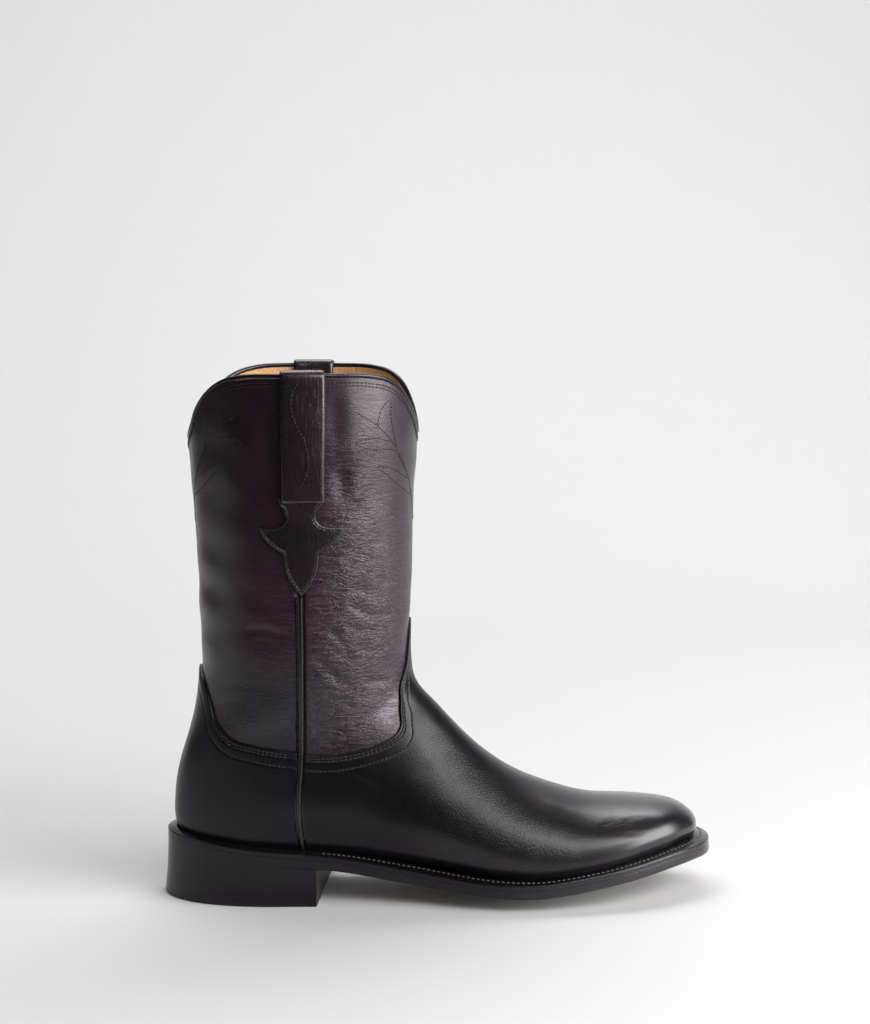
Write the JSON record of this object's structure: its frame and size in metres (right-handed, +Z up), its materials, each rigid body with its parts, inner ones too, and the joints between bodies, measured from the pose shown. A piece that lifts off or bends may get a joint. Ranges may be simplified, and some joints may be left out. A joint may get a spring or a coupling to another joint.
{
  "type": "roper boot",
  "caption": "Pull-on leather roper boot for the right foot: scalloped shaft with pull straps, round toe, welted leather sole and low heel.",
  "frame": {"origin": "on the floor under the middle of the heel, on the heel's flat tread", "axes": "+X towards the toe, +Y towards the inner (medial) side of the right foot, +Z up"},
  "size_m": [0.301, 0.116, 0.2906],
  "materials": {
    "upper_leather": "polished black cowhide with a faint plum tint and fine grain",
    "trim_leather": "smooth black leather over cord",
    "strap_leather": "smooth black leather, folded double",
    "insole_leather": "undyed tan leather, matt",
    "welt_leather": "black waxed leather strip",
    "sole_leather": "burnished very dark brown leather edge"
  },
  "bodies": {
    "root": {"upper": "upper_leather", "topline_piping": "trim_leather", "pull_strap_outer": "strap_leather", "pull_strap_inner": "strap_leather", "spade_tab_outer": "strap_leather", "spade_tab_inner": "strap_leather", "side_piping_outer": "trim_leather", "side_piping_inner": "trim_leather", "insole": "insole_leather", "welt": "welt_leather", "heel_seat": "sole_leather", "outsole": "sole_leather", "heel": "sole_leather"}
  },
  "joints": []
}
